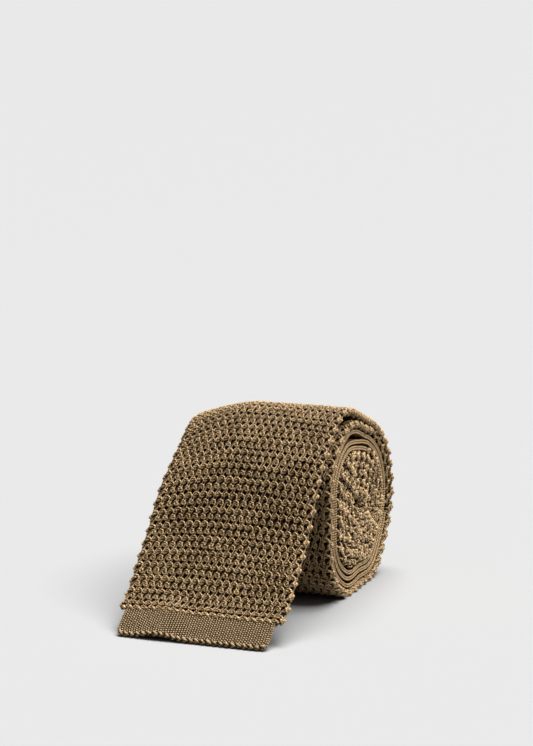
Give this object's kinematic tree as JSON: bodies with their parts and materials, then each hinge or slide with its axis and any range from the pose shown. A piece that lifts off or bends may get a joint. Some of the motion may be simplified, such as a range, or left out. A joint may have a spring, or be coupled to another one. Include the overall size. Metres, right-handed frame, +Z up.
{
  "type": "rolled knit tie",
  "caption": "Square-ended knitted tie rolled up from its narrow end and lying on its side, with the hemmed wide blade falling forward from the top of the roll.",
  "frame": {"origin": "on the supporting surface, under the middle of the roll and half-way across the wide blade", "axes": "+X along the roll's axis towards the flush end, +Y from the free end towards the back of the roll, +Z up"},
  "size_m": [0.0628, 0.1339, 0.0727],
  "materials": {
    "coarse_knit": "silk yarn in a coarse open knit with dark holes, soft sheen",
    "fine_knit": "silk yarn in a fine close knit, soft sheen"
  },
  "bodies": {
    "root": {"hem_band": "fine_knit", "wide_blade": "coarse_knit", "neck_band": "fine_knit", "narrow_blade": "coarse_knit", "tail_hem": "fine_knit"}
  },
  "joints": []
}
